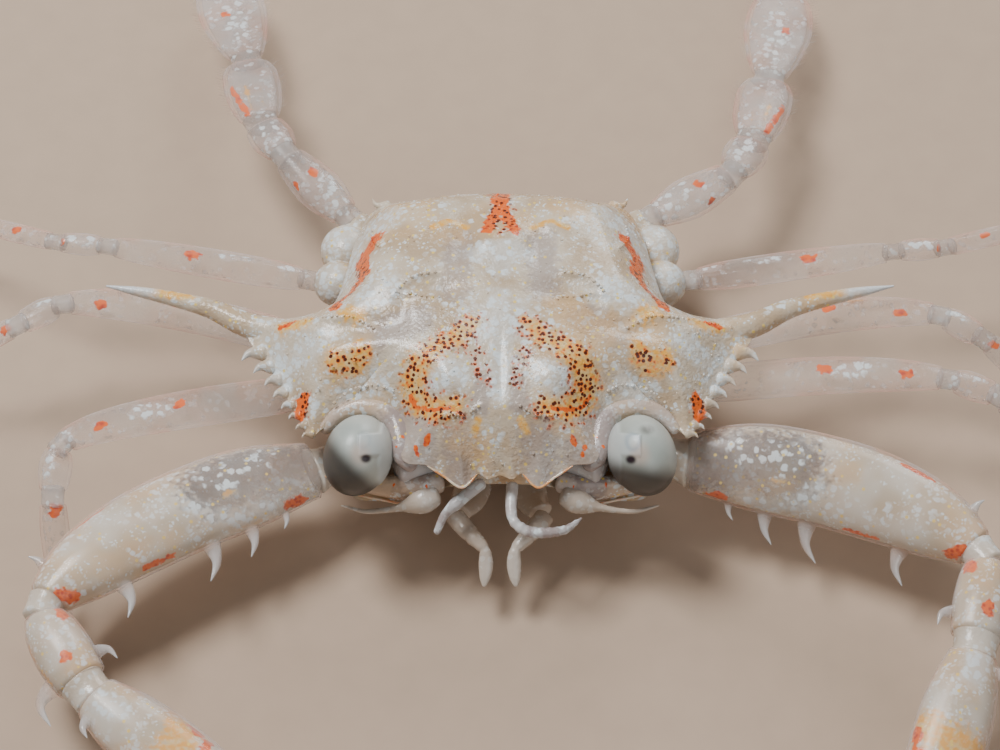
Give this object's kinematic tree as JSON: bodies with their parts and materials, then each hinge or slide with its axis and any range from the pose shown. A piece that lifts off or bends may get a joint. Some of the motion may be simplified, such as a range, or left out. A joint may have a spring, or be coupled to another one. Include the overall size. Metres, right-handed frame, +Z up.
{
  "type": "swimming crab",
  "caption": "Small translucent swimming crab, life size, standing on a flat floor with its claw arms held forward and long side spines on a toothed carapace.",
  "frame": {"origin": "on the floor, under the middle of the whole animal's box", "axes": "+Z up, the crab faces -Y with its right side at -X, so +X runs to its left side"},
  "size_m": [0.0436, 0.038, 0.0064],
  "materials": {
    "shell": "milky, translucent, white net pattern with orange marks, satin",
    "leg": "glass clear to milky, small orange-red spots, glossy",
    "claw": "milky with white flecks and orange spots, satin gloss",
    "eye": "grey-green facets with a dark lower band, wet gloss",
    "stalk": "grey-violet, semi clear, glossy",
    "mouthparts": "pale brown, semi clear, satin"
  },
  "bodies": {
    "root": {"carapace": "shell", "thorax": "shell", "abdomen": "shell", "eye_right": "eye", "eyestalk_right": "stalk", "antennule_right": "stalk", "antenna_right": "mouthparts", "maxilliped_right": "mouthparts", "palp_right": "mouthparts", "eye_left": "eye", "eyestalk_left": "stalk", "antennule_left": "stalk", "antenna_left": "mouthparts", "maxilliped_left": "mouthparts", "palp_left": "mouthparts", "claw_ischium_right": "claw", "claw_merus_right": "claw", "claw_carpus_right": "claw", "claw_palm_right": "claw", "claw_finger_right": "claw", "claw_ischium_left": "claw", "claw_merus_left": "claw", "claw_carpus_left": "claw", "claw_palm_left": "claw", "claw_finger_left": "claw", "leg2_merus_right": "leg", "leg2_carpus_right": "leg", "leg2_propodus_right": "leg", "leg2_dactyl_right": "leg", "leg2_merus_left": "leg", "leg2_carpus_left": "leg", "leg2_propodus_left": "leg", "leg2_dactyl_left": "leg", "leg3_merus_right": "leg", "leg3_carpus_right": "leg", "leg3_propodus_right": "leg", "leg3_dactyl_right": "leg", "leg3_merus_left": "leg", "leg3_carpus_left": "leg", "leg3_propodus_left": "leg", "leg3_dactyl_left": "leg", "leg4_merus_right": "leg", "leg4_carpus_right": "leg", "leg4_propodus_right": "leg", "leg4_dactyl_right": "leg", "leg4_merus_left": "leg", "leg4_carpus_left": "leg", "leg4_propodus_left": "leg", "leg4_dactyl_left": "leg", "swim_merus_right": "leg", "swim_carpus_right": "leg", "swim_propodus_right": "leg", "swim_paddle_right": "leg", "swim_merus_left": "leg", "swim_carpus_left": "leg", "swim_propodus_left": "leg", "swim_paddle_left": "leg"}
  },
  "joints": []
}
